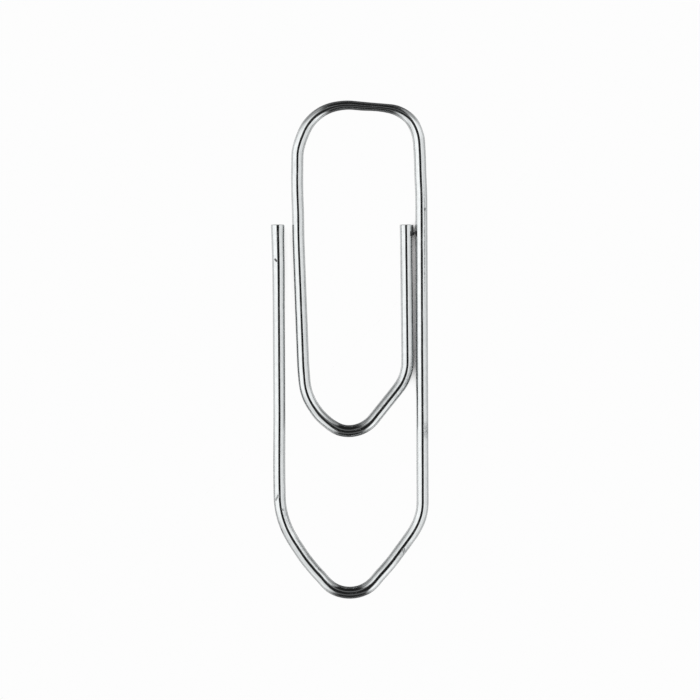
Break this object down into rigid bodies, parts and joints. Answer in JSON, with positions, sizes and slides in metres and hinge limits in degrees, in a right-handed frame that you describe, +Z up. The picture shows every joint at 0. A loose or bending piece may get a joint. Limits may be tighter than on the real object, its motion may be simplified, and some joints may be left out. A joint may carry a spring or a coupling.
{
  "type": "paper clip",
  "caption": "Pointed paper clip of bright round steel wire: an outer loop with a springy tongue inside it, which lifts about the top bar to hold sheets of paper together.",
  "frame": {"origin": "on the surface that the clip lies on, under the middle of its outline", "axes": "+Y along the clip, from the points to the top; +X to the right, seen from above; +Z up"},
  "size_m": [0.0156, 0.05, 0.0012],
  "materials": {
    "wire": "bright zinc-plated drawn wire, smooth, with fine lengthwise die lines and handling marks"
  },
  "bodies": {
    "outer_loop": {"outer_free_leg": "wire", "outer_left_shoulder": "wire", "outer_left_slope": "wire", "outer_nose": "wire", "outer_right_slope": "wire", "outer_right_shoulder": "wire", "long_leg": "wire", "top_right_bend": "wire", "top_bar_right": "wire"},
    "tongue": {"top_bar_left": "wire", "top_left_bend": "wire", "inner_leg": "wire", "inner_left_shoulder": "wire", "inner_left_slope": "wire", "inner_nose": "wire", "inner_right_slope": "wire", "inner_right_shoulder": "wire", "inner_free_leg": "wire"}
  },
  "joints": [
    {"name": "tongue_flex", "type": "hinge", "parent": "outer_loop", "child": "tongue", "pos_m": [0.00212, 0.0242, 0.0006], "axis": [-0.9955, 0.095, 0], "range_deg": [0, 10], "stiffness_Nm_per_rad": 0.5}
  ]
}
